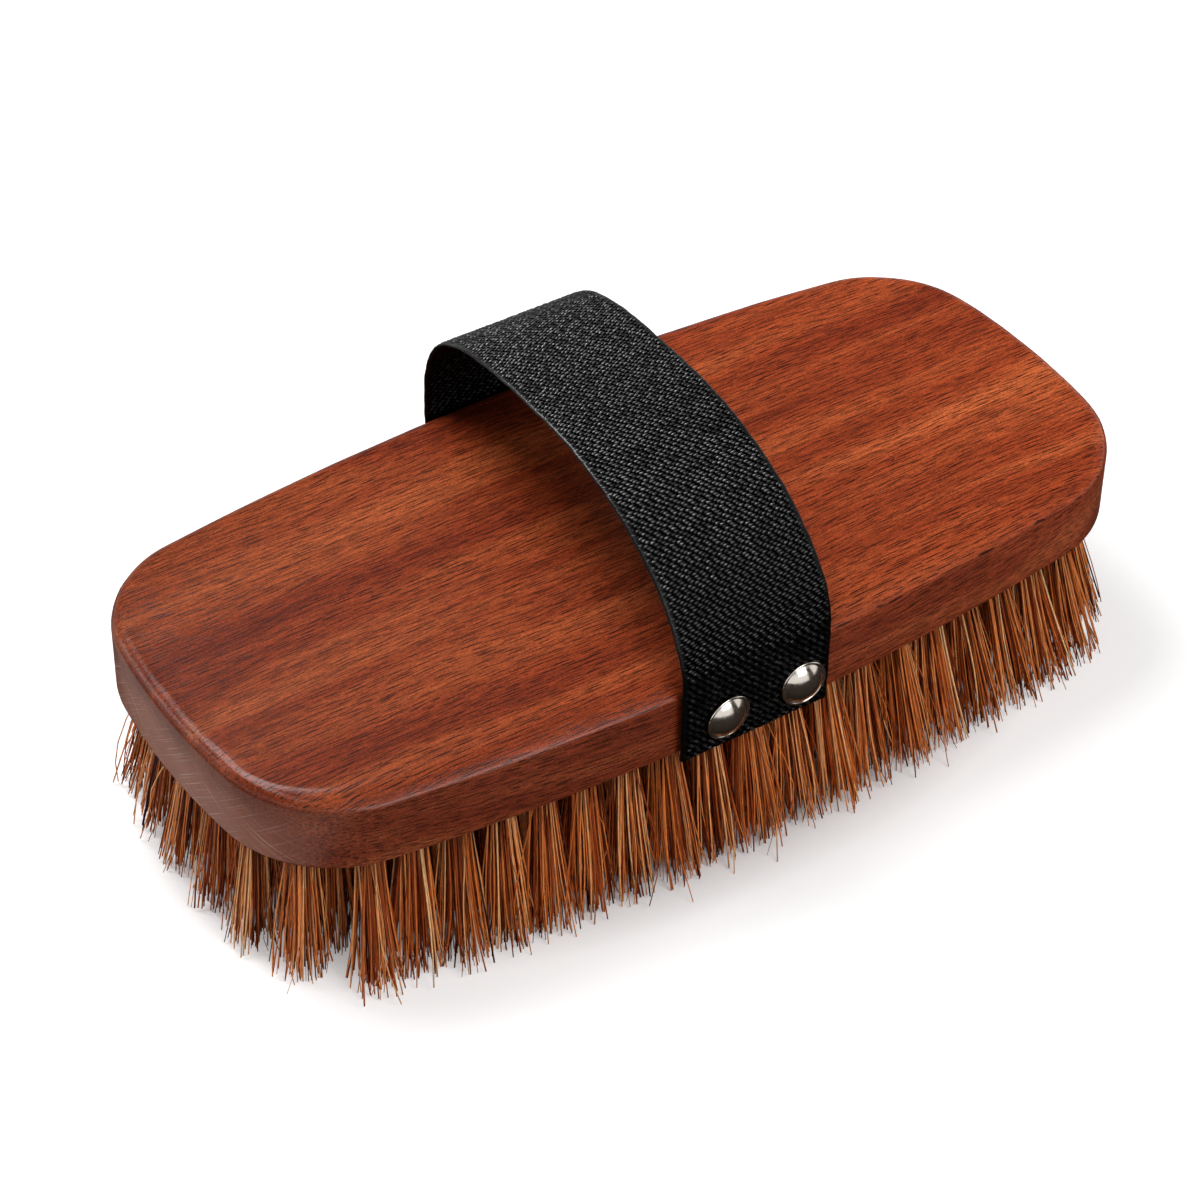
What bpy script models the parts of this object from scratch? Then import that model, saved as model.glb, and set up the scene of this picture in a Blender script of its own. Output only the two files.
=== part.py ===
"""Coconut fibre grooming brush, in metres, +Z up, standing on its bristle tips.

A beech block with bowed sides carries rows of coir tufts in its underside. An elastic
strap arches over the middle of the block and is held to each long side by two domed
nails. X runs along the block, Y across it. The origin is on the floor under the centre.
"""

import math

import bmesh
import bpy
from mathutils import Matrix, Vector

# Fits
FIT_GAP = 0.0003
CUT_OVERRUN = 0.002
MERGE_DISTANCE = 0.00003

# Block
BLOCK_LENGTH = 0.205
BLOCK_WIDTH = 0.095
BLOCK_THICKNESS = 0.017
SIDE_BOW_RADIUS = 0.583
END_BOW_RADIUS = 0.156
CORNER_RADIUS = 0.0258
TOP_ROUND = 0.0028
BOTTOM_ROUND = 0.001

# Tufts: rows lie across the block, and the outer ones bow like its ends
BRISTLE_LENGTH = 0.031
TRIM_DEPTH = 0.0005
ROW_COUNT = 21
END_ROW_TUFTS = 6
LONG_ROW_TUFTS = 8
SHORT_ROW_TUFTS = 7
TUFT_SIDE_INSET = 0.0065
TUFT_END_INSET = 0.0093
END_ROW_REACH_SHARE = 0.64
ROW_BOW_POWER = 1.5

# Strands of one tuft
STRANDS_PER_TUFT = 3
STRAND_SIDES = 3
STRAND_ROOT_RADIUS = 0.0009
STRAND_TIP_RADIUS = 0.0006
ROOT_CIRCLE_RADIUS = 0.0019
TIP_CIRCLE_RADIUS = 0.0034
ROOT_SINK = 0.001
SPLAY_ALONG_SHARE = 0.045
SPLAY_ACROSS_SHARE = 0.19

# Slice of backing that a row of tufts is set in
SLICE_WIDTH = 0.0064
SLICE_THICKNESS = 0.0027

# Strap of elastic webbing
STRAP_WIDTH = 0.034
STRAP_THICKNESS = 0.0013
STRAP_END_DROP = 0.0006
ARCH_START_RISE = 0.0008
ARCH_RISE = 0.0296
CREST_SHIFT = 0.0003
FRONT_FULLNESS = 1.84
BACK_FULLNESS = 2.9

# Domed nails
HEAD_RADIUS = 0.005
HEAD_HEIGHT = 0.0024
RIM_HEIGHT = 0.00045
RIM_WIDTH = 0.0006
HEAD_HOLLOW = 0.0007
COLLAR_RADIUS = 0.0018
SHANK_RADIUS = 0.0009
SHANK_LENGTH = 0.013
POINT_LENGTH = 0.0025
NAIL_SPACING = 0.0175
NAIL_HEIGHT = 0.0061

# Facets
SMOOTH_ANGLE = math.radians(35)
RIM_STEPS = 4
CORNER_STEPS = 8
SIDE_STEPS = 7
END_STEPS = 4
CAP_STEPS = 4
ARCH_STEPS = 22
DOME_STEPS = 5
TURNED_STEPS = 20
HOLE_SIDES = 12

# Heights and places that follow from the sizes above
BLOCK_BOTTOM = BRISTLE_LENGTH
BLOCK_TOP = BLOCK_BOTTOM + BLOCK_THICKNESS
STRAP_LINE = BLOCK_WIDTH / 2 + FIT_GAP + STRAP_THICKNESS / 2
NAIL_SEAT = BLOCK_WIDTH / 2 + STRAP_THICKNESS + 2 * FIT_GAP
HOLE_RADIUS = SHANK_RADIUS + FIT_GAP


def clear_scene():
    """Remove every object that the file opened with."""
    for found in list(bpy.data.objects):
        bpy.data.objects.remove(found, do_unlink=True)


def make_collection(name):
    """Return a new collection in the scene."""
    collection = bpy.data.collections.new(name)
    bpy.context.scene.collection.children.link(collection)
    return collection


def make_material(name, color, roughness, metallic=0.0):
    """Return a Principled BSDF material of one colour."""
    material = bpy.data.materials.new(name)
    material.use_nodes = True
    shader = material.node_tree.nodes["Principled BSDF"]
    shader.inputs["Base Color"].default_value = (*color, 1.0)
    shader.inputs["Roughness"].default_value = roughness
    shader.inputs["Metallic"].default_value = metallic
    return material


def add_part(name, data, parts, parent, material):
    """Return a new object of the part, in its collection and under its parent."""
    part = bpy.data.objects.new(name, data)
    parts.objects.link(part)
    part.parent = parent
    if material.name not in data.materials:
        data.materials.append(material)
    return part


def add_cutter(name, data, cutters):
    """Return a new helper object, which no render shows."""
    cutter = bpy.data.objects.new(name, data)
    cutters.objects.link(cutter)
    cutter.hide_render = True
    cutter.display_type = "WIRE"
    return cutter


def add_boolean(part, operation, other):
    """Cut or join one object with another by a Boolean modifier."""
    boolean = part.modifiers.new(f"{operation.lower()}_{other.name}", "BOOLEAN")
    boolean.operation = operation
    boolean.object = other


def curve_mesh(name, points, depth, closed, smooth=False):
    """Return a mesh made from a flat outline or line, drawn out to its depth along Z."""
    curve = bpy.data.curves.new(name, "CURVE")
    curve.dimensions = "2D"
    curve.fill_mode = "BOTH" if closed else "NONE"
    curve.extrude = depth / 2
    spline = curve.splines.new("POLY")
    spline.points.add(len(points) - 1)
    for place, (x, y) in zip(spline.points, points):
        place.co = (x, y, 0.0, 1.0)
    spline.use_cyclic_u = closed
    holder = bpy.data.objects.new(name, curve)
    bpy.context.scene.collection.objects.link(holder)
    graph = bpy.context.evaluated_depsgraph_get()
    mesh = bpy.data.meshes.new_from_object(holder.evaluated_get(graph))
    mesh.name = name
    bpy.data.objects.remove(holder, do_unlink=True)
    bpy.data.curves.remove(curve)
    weld_mesh(mesh, smooth)
    return mesh


def weld_mesh(mesh, smooth):
    """Join the loose caps of a mesh to its sides and set how it is shaded."""
    shape = bmesh.new()
    shape.from_mesh(mesh)
    bmesh.ops.remove_doubles(shape, verts=shape.verts, dist=MERGE_DISTANCE)
    bmesh.ops.recalc_face_normals(shape, faces=shape.faces)
    shape.to_mesh(mesh)
    shape.free()
    if smooth:
        mesh.shade_smooth()
        mesh.set_sharp_from_angle(angle=SMOOTH_ANGLE)


def arc(centre, radius, start, end, steps):
    """Return points along an arc, both ends included."""
    turns = [start + (end - start) * step / steps for step in range(steps + 1)]
    return [centre + Vector((math.cos(turn), math.sin(turn))) * radius for turn in turns]


class Outline:
    """One quarter of the block's outline as three tangent arcs: end, corner and side."""

    def __init__(self):
        self.side_centre = Vector((0.0, BLOCK_WIDTH / 2 - SIDE_BOW_RADIUS))
        self.end_centre = Vector((BLOCK_LENGTH / 2 - END_BOW_RADIUS, 0.0))
        self.corner_centre = self.find_corner_centre()
        to_side = self.corner_centre - self.side_centre
        to_end = self.corner_centre - self.end_centre
        self.side_angle = math.atan2(to_side.y, to_side.x)
        self.end_angle = math.atan2(to_end.y, to_end.x)

    def find_corner_centre(self):
        """Return the centre of the corner arc that is tangent to the other two."""
        apart = self.end_centre - self.side_centre
        side_reach = SIDE_BOW_RADIUS - CORNER_RADIUS
        end_reach = END_BOW_RADIUS - CORNER_RADIUS
        span = apart.length
        along = (span**2 + side_reach**2 - end_reach**2) / (2 * span)
        across = math.sqrt(side_reach**2 - along**2)
        direction = apart / span
        sideways = Vector((direction.y, -direction.x))
        return self.side_centre + direction * along + sideways * across

    def quarter(self, inset):
        """Return points from the middle of the end to the middle of the side."""
        end = arc(self.end_centre, END_BOW_RADIUS - inset, 0.0, self.end_angle, END_STEPS)
        corner = arc(
            self.corner_centre, CORNER_RADIUS - inset, self.end_angle, self.side_angle, CORNER_STEPS
        )
        side = arc(
            self.side_centre, SIDE_BOW_RADIUS - inset, self.side_angle, math.pi / 2, SIDE_STEPS
        )
        return end + corner[1:] + side[1:]

    def whole(self, inset):
        """Return the closed outline, anticlockwise from the middle of the +X end."""
        first = self.quarter(inset)
        second = [Vector((-p.x, p.y)) for p in reversed(first[:-1])]
        upper = first + second
        lower = [Vector((p.x, -p.y)) for p in reversed(upper[1:-1])]
        return upper + lower

    def half_width_at(self, x, inset):
        """Return the outline's Y at a place along X."""
        corner_from = (SIDE_BOW_RADIUS - inset) * math.cos(self.side_angle)
        corner_to = self.end_centre.x + (END_BOW_RADIUS - inset) * math.cos(self.end_angle)
        if x <= corner_from:
            return self.side_centre.y + math.sqrt((SIDE_BOW_RADIUS - inset) ** 2 - x**2)
        if x <= corner_to:
            along = x - self.corner_centre.x
            return self.corner_centre.y + math.sqrt((CORNER_RADIUS - inset) ** 2 - along**2)
        return math.sqrt((END_BOW_RADIUS - inset) ** 2 - (x - self.end_centre.x) ** 2)

    def half_length_at(self, y, inset):
        """Return the outline's X at a place across Y, on the end or the corner."""
        if y <= (END_BOW_RADIUS - inset) * math.sin(self.end_angle):
            return self.end_centre.x + math.sqrt((END_BOW_RADIUS - inset) ** 2 - y**2)
        across = y - self.corner_centre.y
        return self.corner_centre.x + math.sqrt((CORNER_RADIUS - inset) ** 2 - across**2)


def tuft_centres(outline, row):
    """Return the centres of one row's tufts, spread evenly across the block."""
    place_share = 2 * row / (ROW_COUNT - 1) - 1
    half_length = BLOCK_LENGTH / 2 - TUFT_END_INSET
    end_reach = END_ROW_REACH_SHARE * (BLOCK_WIDTH / 2 - TUFT_SIDE_INSET)

    def x_at(y):
        bow = half_length - outline.half_length_at(min(abs(y), end_reach), TUFT_END_INSET)
        return abs(place_share) * half_length - abs(place_share) ** ROW_BOW_POWER * bow

    reach = end_reach
    count = END_ROW_TUFTS
    if row not in (0, ROW_COUNT - 1):
        reach = outline.half_width_at(x_at(end_reach), TUFT_SIDE_INSET)
        count = SHORT_ROW_TUFTS if row % 2 else LONG_ROW_TUFTS
    side = math.copysign(1.0, place_share)
    across = [reach * (2 * tuft / (count - 1) - 1) for tuft in range(count)]
    return [Vector((side * x_at(y), y)) for y in across]


def slice_outline(centres, half_width):
    """Return the outline of a strip along a row, with a round cap about each end tuft."""
    last = len(centres) - 1
    front, back = [], []
    for index, centre in enumerate(centres):
        along = (centres[min(index + 1, last)] - centres[max(index - 1, 0)]).normalized()
        across = Vector((along.y, -along.x))
        front.append(centre + across * half_width)
        back.append(centre - across * half_width)
    end_turn = math.atan2(front[-1].y - centres[-1].y, front[-1].x - centres[-1].x)
    start_turn = math.atan2(back[0].y - centres[0].y, back[0].x - centres[0].x)
    end_cap = arc(centres[-1], half_width, end_turn, end_turn + math.pi, CAP_STEPS)
    start_cap = arc(centres[0], half_width, start_turn, start_turn + math.pi, CAP_STEPS)
    return front[:-1] + end_cap + back[-2:0:-1] + start_cap[:-1]


def add_strand(shape, root, tip, turn):
    """Add one tapering strand, one corner turned outward, that leans from root to tip."""
    top = BLOCK_BOTTOM + ROOT_SINK
    height = top + TRIM_DEPTH
    corner_turn = turn - math.pi / 2
    place = Matrix.Translation((*root, top - height / 2)) @ Matrix.Rotation(corner_turn, 4, "Z")
    made = bmesh.ops.create_cone(
        shape,
        cap_ends=True,
        segments=STRAND_SIDES,
        radius1=STRAND_TIP_RADIUS,
        radius2=STRAND_ROOT_RADIUS,
        depth=height,
        matrix=place,
    )
    lean = Vector((*(tip - root), 0.0))
    lower = [vert for vert in made["verts"] if vert.co.z < top - height / 2]
    bmesh.ops.translate(shape, verts=lower, vec=lean)


def strands_mesh(row, centres):
    """Return one mesh with every strand of a row, each clear of the others."""
    shape = bmesh.new()
    for centre in centres:
        outward = math.copysign(1.0, centre.y) * (-1) ** row
        tip_centre = Vector(
            (centre.x * (1 + SPLAY_ALONG_SHARE), centre.y * (1 + SPLAY_ACROSS_SHARE))
        )
        for strand in range(STRANDS_PER_TUFT):
            turn = outward * (math.pi / 2 + math.tau * strand / STRANDS_PER_TUFT)
            direction = Vector((math.cos(turn), math.sin(turn)))
            root = centre + direction * ROOT_CIRCLE_RADIUS
            tip = tip_centre + direction * TIP_CIRCLE_RADIUS
            add_strand(shape, root, tip, turn)
    mesh = bpy.data.meshes.new(f"strands_{row + 1:02d}")
    shape.to_mesh(mesh)
    shape.free()
    return mesh


def box_mesh(name, size):
    """Return a box centred on its own origin."""
    shape = bmesh.new()
    bmesh.ops.create_cube(shape, size=1.0, matrix=Matrix.Diagonal((*size, 1.0)))
    mesh = bpy.data.meshes.new(name)
    shape.to_mesh(mesh)
    shape.free()
    return mesh


def make_tuft_rows(outline, parts, cutters, frame, material):
    """Make each row of tufts with its slice of backing, trimmed flat on the floor."""
    plate_size = (2 * BLOCK_LENGTH, 2 * BLOCK_WIDTH, BRISTLE_LENGTH)
    trim = add_cutter("trim_plate", box_mesh("trim_plate", plate_size), cutters)
    trim.location.z = -BRISTLE_LENGTH / 2
    for row in range(ROW_COUNT):
        centres = tuft_centres(outline, row)
        name = f"tuft_row_{row + 1:02d}"
        strip = slice_outline(centres, SLICE_WIDTH / 2)
        mesh = curve_mesh(name, strip, SLICE_THICKNESS, closed=True)
        part = add_part(name, mesh, parts, frame, material)
        part.location.z = BLOCK_BOTTOM + SLICE_THICKNESS / 2
        strands = strands_mesh(row, centres)
        add_boolean(part, "UNION", add_cutter(strands.name, strands, cutters))
        add_boolean(part, "DIFFERENCE", trim)


def add_row_grooves(block, outline, cutters):
    """Cut the groove that each row's slice sits in, a fit gap larger all round."""
    depth = SLICE_THICKNESS + FIT_GAP + CUT_OVERRUN
    for row in range(ROW_COUNT):
        strip = slice_outline(tuft_centres(outline, row), SLICE_WIDTH / 2 + FIT_GAP)
        mesh = curve_mesh(f"groove_{row + 1:02d}", strip, depth, closed=True)
        groove = add_cutter(mesh.name, mesh, cutters)
        groove.location.z = BLOCK_BOTTOM + depth / 2 - CUT_OVERRUN
        add_boolean(block, "DIFFERENCE", groove)


def round_rims(block):
    """Round the top rim of the block, and its bottom rim by less."""
    mesh = block.data
    weights = mesh.attributes.new("bevel_weight_edge", "FLOAT", "EDGE")
    for edge in mesh.edges:
        heights = [mesh.vertices[index].co.z for index in edge.vertices]
        if min(heights) > 0.0:
            weights.data[edge.index].value = 1.0
        elif max(heights) < 0.0:
            weights.data[edge.index].value = BOTTOM_ROUND / TOP_ROUND
    rounding = block.modifiers.new("rounded_rims", "BEVEL")
    rounding.limit_method = "WEIGHT"
    rounding.width = TOP_ROUND
    rounding.segments = RIM_STEPS


def make_block(outline, parts, cutters, frame, material):
    """Make the block with its rounded rims and the grooves in its underside."""
    mesh = curve_mesh("block", outline.whole(0.0), BLOCK_THICKNESS, closed=True, smooth=True)
    block = add_part("block", mesh, parts, frame, material)
    block.location.z = BLOCK_BOTTOM + BLOCK_THICKNESS / 2
    round_rims(block)
    add_row_grooves(block, outline, cutters)
    return block


def strap_line():
    """Return the middle line of the strap as (Y, Z), from its front end to its back end."""
    start = BLOCK_TOP + ARCH_START_RISE
    crest = BLOCK_TOP + ARCH_START_RISE + ARCH_RISE
    bottom = BLOCK_BOTTOM - STRAP_END_DROP
    turns = [math.pi / 2 * step / ARCH_STEPS for step in range(ARCH_STEPS + 1)]

    def quarter(reach, fullness):
        return [
            (
                reach * math.cos(turn) ** (2 / fullness),
                start + (crest - start) * math.sin(turn) ** (2 / fullness),
            )
            for turn in turns
        ]

    front = [(CREST_SHIFT - y, z) for y, z in quarter(STRAP_LINE + CREST_SHIFT, FRONT_FULLNESS)]
    back = [(CREST_SHIFT + y, z) for y, z in quarter(STRAP_LINE - CREST_SHIFT, BACK_FULLNESS)]
    return [(-STRAP_LINE, bottom)] + front + back[-2::-1] + [(STRAP_LINE, bottom)]


def make_strap(parts, frame, material):
    """Make the strap as a ribbon along its line, thickened on both sides."""
    mesh = curve_mesh("strap", strap_line(), STRAP_WIDTH, closed=False, smooth=True)
    mesh.transform(Matrix(((0, 0, 1), (1, 0, 0), (0, 1, 0))).to_4x4())
    strap = add_part("strap", mesh, parts, frame, material)
    webbing = strap.modifiers.new("webbing", "SOLIDIFY")
    webbing.thickness = STRAP_THICKNESS
    webbing.offset = 0.0
    webbing.use_even_offset = True
    return strap


def nail_profile():
    """Return half the section of a nail, from the crown of its dome to its point."""
    dome_height = HEAD_HEIGHT - RIM_HEIGHT
    dome_radius = (HEAD_RADIUS**2 + dome_height**2) / (2 * dome_height)
    half_angle = math.asin(HEAD_RADIUS / dome_radius)
    turns = [half_angle * step / DOME_STEPS for step in range(DOME_STEPS + 1)]
    centre = HEAD_HEIGHT - dome_radius
    dome = [(dome_radius * math.sin(a), centre + dome_radius * math.cos(a)) for a in turns]
    rim = [(HEAD_RADIUS, 0.0), (HEAD_RADIUS - RIM_WIDTH, 0.0)]
    hollow = [(COLLAR_RADIUS, HEAD_HOLLOW), (SHANK_RADIUS, HEAD_HOLLOW)]
    shank = [(SHANK_RADIUS, POINT_LENGTH - SHANK_LENGTH), (0.0, -SHANK_LENGTH)]
    return dome + rim + hollow + shank


def nail_mesh():
    """Return the section of a nail as an open line of edges."""
    shape = bmesh.new()
    verts = [shape.verts.new((x, 0.0, z)) for x, z in nail_profile()]
    for first, second in zip(verts, verts[1:]):
        shape.edges.new((first, second))
    mesh = bpy.data.meshes.new("nail")
    shape.to_mesh(mesh)
    shape.free()
    return mesh


def turn_profile(part):
    """Turn a half section about its Z axis."""
    turning = part.modifiers.new("turned", "SCREW")
    turning.steps = TURNED_STEPS
    turning.render_steps = TURNED_STEPS
    turning.use_merge_vertices = True
    turning.merge_threshold = MERGE_DISTANCE
    turning.use_smooth_shade = True


def nail_hole_mesh():
    """Return the hole for a nail, from outside the strap to past the nail's point."""
    depth = SHANK_LENGTH + FIT_GAP + CUT_OVERRUN
    shape = bmesh.new()
    bmesh.ops.create_cone(
        shape,
        cap_ends=True,
        segments=HOLE_SIDES,
        radius1=HOLE_RADIUS,
        radius2=HOLE_RADIUS,
        depth=depth,
        matrix=Matrix.Translation((0.0, 0.0, CUT_OVERRUN - depth / 2)),
    )
    mesh = bpy.data.meshes.new("nail_hole")
    shape.to_mesh(mesh)
    shape.free()
    return mesh


def make_nails(strap, block, parts, cutters, frame, material):
    """Make the four nails and the holes that they stand in."""
    mesh = nail_mesh()
    hole_mesh = nail_hole_mesh()
    for side, across in (("front", -1), ("back", 1)):
        for hand, along in (("left", -1), ("right", 1)):
            nail = add_part(f"nail_{side}_{hand}", mesh, parts, frame, material)
            hole = add_cutter(f"hole_{side}_{hand}", hole_mesh, cutters)
            for piece in (nail, hole):
                piece.location = (
                    along * NAIL_SPACING / 2,
                    across * NAIL_SEAT,
                    BLOCK_BOTTOM + NAIL_HEIGHT,
                )
                piece.rotation_euler.x = -across * math.pi / 2
            turn_profile(nail)
            add_boolean(strap, "DIFFERENCE", hole)
            add_boolean(block, "DIFFERENCE", hole)


def main():
    """Build the whole brush."""
    clear_scene()
    parts = make_collection("coconut_fibre_brush")
    cutters = make_collection("cutters")
    frame = bpy.data.objects.new("brush_frame", None)
    parts.objects.link(frame)
    beech = make_material("stained_beech", (0.24, 0.055, 0.02), 0.38)
    webbing = make_material("black_elastic_webbing", (0.012, 0.012, 0.012), 0.9)
    nickel = make_material("nickel_plate", (0.72, 0.69, 0.65), 0.2, 1.0)
    coir = make_material("coir", (0.42, 0.19, 0.07), 0.7)
    outline = Outline()
    block = make_block(outline, parts, cutters, frame, beech)
    strap = make_strap(parts, frame, webbing)
    make_nails(strap, block, parts, cutters, frame, nickel)
    make_tuft_rows(outline, parts, cutters, frame, coir)


main()
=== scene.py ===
"""Dressed scene of a coconut fibre hand brush: stained beech, elastic webbing, nickel, coir.

Every length is in metres. X runs along the block, Y across it and Z up from the fibre tips.
"""

import logging
import math
from dataclasses import dataclass
from enum import Enum

import bmesh
import bpy
import numpy as np
from mathutils import Matrix, Vector


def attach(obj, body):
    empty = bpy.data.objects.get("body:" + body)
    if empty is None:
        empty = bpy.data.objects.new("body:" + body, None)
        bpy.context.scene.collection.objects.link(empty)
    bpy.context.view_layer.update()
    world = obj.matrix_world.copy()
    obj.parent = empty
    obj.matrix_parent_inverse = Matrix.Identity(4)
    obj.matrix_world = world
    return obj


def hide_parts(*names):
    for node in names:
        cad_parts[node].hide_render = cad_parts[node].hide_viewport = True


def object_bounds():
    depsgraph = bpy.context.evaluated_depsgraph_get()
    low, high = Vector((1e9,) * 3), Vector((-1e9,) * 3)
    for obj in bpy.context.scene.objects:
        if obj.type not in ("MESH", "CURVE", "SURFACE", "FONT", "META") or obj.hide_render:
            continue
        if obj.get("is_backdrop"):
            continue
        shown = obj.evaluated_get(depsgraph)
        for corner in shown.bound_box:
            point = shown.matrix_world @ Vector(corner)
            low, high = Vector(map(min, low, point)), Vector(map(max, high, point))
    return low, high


LOG = logging.getLogger("brush")
MM = 0.001
CREASE_ANGLE = math.radians(38)

Tree = bpy.types.NodeTree
Node = bpy.types.Node
Socket = bpy.types.NodeSocket
Material = bpy.types.Material
Piece = bpy.types.Object
Source = Node | Socket
Place = tuple[float, float, float]


class Face(Enum):
    """The two long sides of the block, by their direction along Y."""

    FRONT = -1
    BACK = 1


class Shading(Enum):
    """How a mesh's faces meet under light."""

    FLAT = "flat"
    SMOOTH = "smooth"
    CREASED = "creased"


def linear(code: str) -> tuple[float, float, float, float]:
    """Turn an sRGB hex colour into linear RGBA.

    Args:
        code: Six hex digits after a hash.

    Returns:
        The linear colour with an alpha of one.
    """
    shares = [int(code[place : place + 2], 16) / 255 for place in (1, 3, 5)]
    red, green, blue = (
        share / 12.92 if share <= 0.04045 else ((share + 0.055) / 1.055) ** 2.4 for share in shares
    )
    return red, green, blue, 1.0


def add_node(
    tree: Tree,
    kind: str,
    links: dict[str | int, object] | tuple = (),
    stops: tuple[tuple[float, str], ...] = (),
    **settings: object,
) -> Node:
    """Add a shader node with its settings and links.

    Args:
        tree: The node tree that the node goes into.
        kind: The node's type, without ShaderNode in front.
        links: What feeds each input, by its name or number, or in order from the first. It is
            a socket, a node whose first output is meant, or a value.
        stops: The places and hex colours of a colour ramp.
        **settings: The node's own properties.

    Returns:
        The new node.
    """
    node = tree.nodes.new("ShaderNode" + kind)
    for name, value in settings.items():
        setattr(node, name, value)
    named = links if isinstance(links, dict) else dict(enumerate(links))
    for name, value in named.items():
        source = value.outputs[0] if isinstance(value, Node) else value
        if isinstance(source, Socket):
            tree.links.new(source, node.inputs[name])
        else:
            node.inputs[name].default_value = source
    if stops:
        elements = node.color_ramp.elements
        while len(elements) < len(stops):
            elements.new(0.5)
        for element, (place, code) in zip(elements, stops):
            element.position = place
            element.color = linear(code)
    return node


def new_material(name: str) -> tuple[Material, Tree]:
    """Make an empty node material.

    Args:
        name: The material's name.

    Returns:
        The material and its node tree.
    """
    material = bpy.data.materials.new(name)
    material.use_nodes = True
    material.node_tree.nodes.clear()
    return material, material.node_tree


def mesh_object(
    name: str, points: np.ndarray, faces: list, material: Material, shading: Shading
) -> Piece:
    """Make an object from points and faces.

    Args:
        name: The object's name.
        points: The corners, one row each.
        faces: The corner numbers of each face.
        material: The finish of the whole object.
        shading: How its faces meet.

    Returns:
        The new object, linked to the scene.
    """
    mesh = bpy.data.meshes.new(name)
    mesh.from_pydata(points.tolist(), [], faces)
    mesh.materials.append(material)
    if shading is not Shading.FLAT:
        mesh.shade_smooth()
    if shading is Shading.CREASED:
        mesh.set_sharp_from_angle(angle=CREASE_ANGLE)
    mesh.update()
    piece = bpy.data.objects.new(name, mesh)
    bpy.context.scene.collection.objects.link(piece)
    return piece


def bridge(rings: int, count: int, closed: bool) -> np.ndarray:
    """List the quads between successive rings of points.

    Args:
        rings: How many rings there are.
        count: How many points each ring has.
        closed: Whether the last point of a ring joins its first.

    Returns:
        Four corner numbers for each quad.
    """
    ring = np.arange(rings - 1)[:, None] * count
    first = np.arange(count if closed else count - 1)[None, :]
    second = (first + 1) % count
    quads = np.stack([ring + first, ring + second, ring + count + second, ring + count + first], -1)
    return quads.reshape(-1, 4)


def unit_rows(rows: np.ndarray) -> np.ndarray:
    """Return each row scaled to a length of one."""
    return rows / np.linalg.norm(rows, axis=1, keepdims=True)


def smooth_noise(places: np.ndarray, rng: np.random.Generator, terms: int = 6) -> np.ndarray:
    """Sum a few sines of unrelated pitch into a slow, even wobble.

    Args:
        places: Where the wobble is wanted, in turns of its longest wave.
        rng: The source of the phases.
        terms: How many sines are summed.

    Returns:
        Values between about -1 and 1.
    """
    pitch_step = 0.83
    pitches = 1 + np.arange(terms) * pitch_step
    phases = rng.uniform(0, math.tau, terms)
    waves = np.sin(places[..., None] * math.tau * pitches + phases) / np.sqrt(pitches)
    return waves.sum(-1) / math.sqrt(terms)


@dataclass(frozen=True)
class PoreKind:
    """One size of pore: the room each has along and across the grain, its own size and depth."""

    room_length: float
    room_width: float
    length: float
    width: float
    depth: float


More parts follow.
